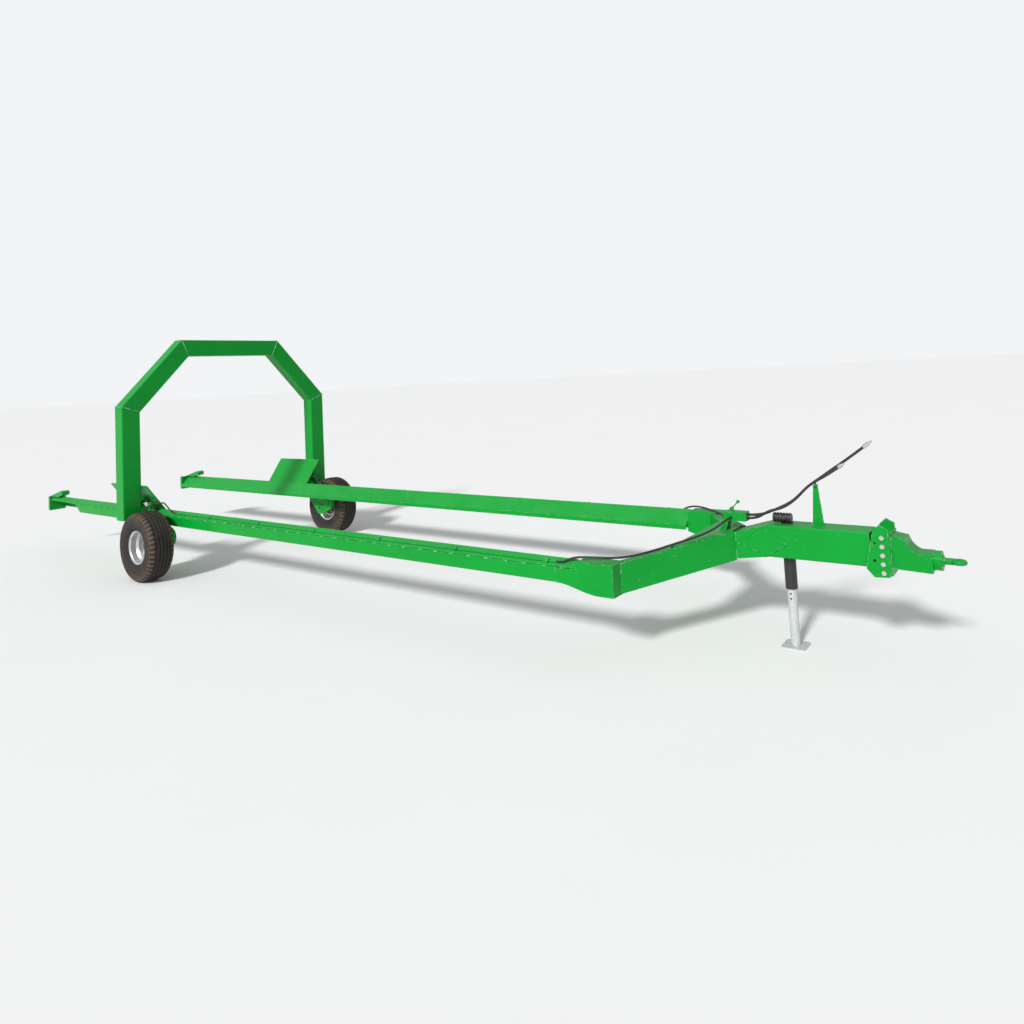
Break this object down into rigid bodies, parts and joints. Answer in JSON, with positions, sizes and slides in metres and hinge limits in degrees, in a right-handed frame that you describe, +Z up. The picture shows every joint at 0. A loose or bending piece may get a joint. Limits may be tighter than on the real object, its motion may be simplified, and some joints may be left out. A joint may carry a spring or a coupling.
{
  "type": "self-loading in-line bale carrier",
  "caption": "Low trailer frame with parallel slanted bale rails, open octagonal arch, swing-arm wheels, A-shaped drawbar, jack and towing eye; the arms lower the frame.",
  "frame": {"origin": "on the ground under the middle of the whole carrier", "axes": "+X forward to the towing eye, +Y to the left, +Z up"},
  "size_m": [12.95, 3.201, 3.13],
  "materials": {
    "green_paint": "gloss bright green machine paint",
    "tyre": "matt black rubber, dusty",
    "silver_rim": "silver paint",
    "hose_rubber": "satin black rubber",
    "black_paint": "satin black paint",
    "galvanised": "galvanised steel",
    "bright_steel": "zinc plated steel",
    "chrome_rod": "hard chrome",
    "dark_steel": "dark green paint"
  },
  "bodies": {
    "frame": {"arch_braces": "green_paint", "arch_top_beam": "green_paint", "arm_brackets": "green_paint", "drawbar_elbow": "green_paint", "fishplates": "green_paint", "gusset_plate": "green_paint", "hitch_bolts": "bright_steel", "hitch_head": "green_paint", "hitch_plates": "green_paint", "hose_couplers": "bright_steel", "hose_stand": "green_paint", "jack_head": "black_paint", "jack_outer_tube": "black_paint", "left_arch_leg": "green_paint", "left_bale_strip": "green_paint", "left_corner_post": "green_paint", "left_cylinder_barrel": "green_paint", "left_cylinder_hose": "hose_rubber", "left_drawbar_leg": "green_paint", "left_feed_hose": "hose_rubber", "left_rail_beam": "green_paint", "left_rail_pipe": "green_paint", "left_side_plate": "green_paint", "pipe_clamps": "green_paint", "pivot_pins": "bright_steel", "rail_hooks": "green_paint", "right_arch_leg": "green_paint", "right_bale_strip": "green_paint", "right_corner_post": "green_paint", "right_cylinder_barrel": "green_paint", "right_cylinder_hose": "hose_rubber", "right_drawbar_leg": "green_paint", "right_feed_hose": "hose_rubber", "right_rail_beam": "green_paint", "right_rail_pipe": "green_paint", "right_side_plate": "green_paint", "supply_hose_lower": "hose_rubber", "supply_hose_upper": "hose_rubber", "tongue_beam": "green_paint", "valve_block": "green_paint"},
    "right_arm": {"right_wheel_arm": "green_paint", "right_stub_axle": "dark_steel"},
    "right_wheel": {"right_hub": "dark_steel", "right_rim": "silver_rim", "right_tyre": "tyre", "right_wheel_nuts": "bright_steel"},
    "right_rod": {"right_cylinder_rod": "chrome_rod", "right_rod_pin": "bright_steel"},
    "left_arm": {"left_wheel_arm": "green_paint", "left_stub_axle": "dark_steel"},
    "left_wheel": {"left_hub": "dark_steel", "left_rim": "silver_rim", "left_tyre": "tyre", "left_wheel_nuts": "bright_steel"},
    "left_rod": {"left_cylinder_rod": "chrome_rod", "left_rod_pin": "bright_steel"},
    "jack_leg": {"jack_inner_leg": "galvanised"},
    "eye": {"towing_eye": "green_paint", "eye_nut": "bright_steel"},
    "valve_handle": {"valve_lever": "green_paint"}
  },
  "joints": [
    {"name": "right_arm_swing", "type": "hinge", "parent": "frame", "child": "right_arm", "pos_m": [-3.075, -1.235, 0.8], "axis": [0, -1, 0], "range_deg": [0, 46.8]},
    {"name": "left_arm_swing", "type": "hinge", "parent": "frame", "child": "left_arm", "pos_m": [-3.075, 1.235, 0.8], "axis": [0, -1, 0], "range_deg": [0, 46.8]},
    {"name": "right_wheel_spin", "type": "hinge", "parent": "right_arm", "child": "right_wheel", "pos_m": [-2.695, -1.445, 0.44], "axis": [0, 1, 0], "continuous": true},
    {"name": "left_wheel_spin", "type": "hinge", "parent": "left_arm", "child": "left_wheel", "pos_m": [-2.695, 1.445, 0.44], "axis": [0, 1, 0], "continuous": true},
    {"name": "right_rod_slide", "type": "slide", "parent": "frame", "child": "right_rod", "axis": [-1, 0, 0], "range_m": [0, 0.09582]},
    {"name": "left_rod_slide", "type": "slide", "parent": "frame", "child": "left_rod", "axis": [-1, 0, 0], "range_m": [0, 0.09582]},
    {"name": "jack_extend", "type": "slide", "parent": "frame", "child": "jack_leg", "axis": [0, 0, 1], "range_m": [-0.08, 0.34]},
    {"name": "eye_swivel", "type": "hinge", "parent": "frame", "child": "eye", "pos_m": [6.225, 0, 0.808], "axis": [1, 0, 0], "continuous": true},
    {"name": "valve_lever_tilt", "type": "hinge", "parent": "frame", "child": "valve_handle", "pos_m": [4.685, 0, 1.097], "axis": [0, 1, 0], "range_deg": [-20, 20]}
  ],
  "couplings": [
    {"joint": "left_arm_swing", "follows": "right_arm_swing", "ratio": 1},
    {"joint": "right_rod_slide", "follows": "right_arm_swing", "m_per_rad": 0.11669},
    {"joint": "left_rod_slide", "follows": "right_arm_swing", "m_per_rad": 0.11669}
  ]
}
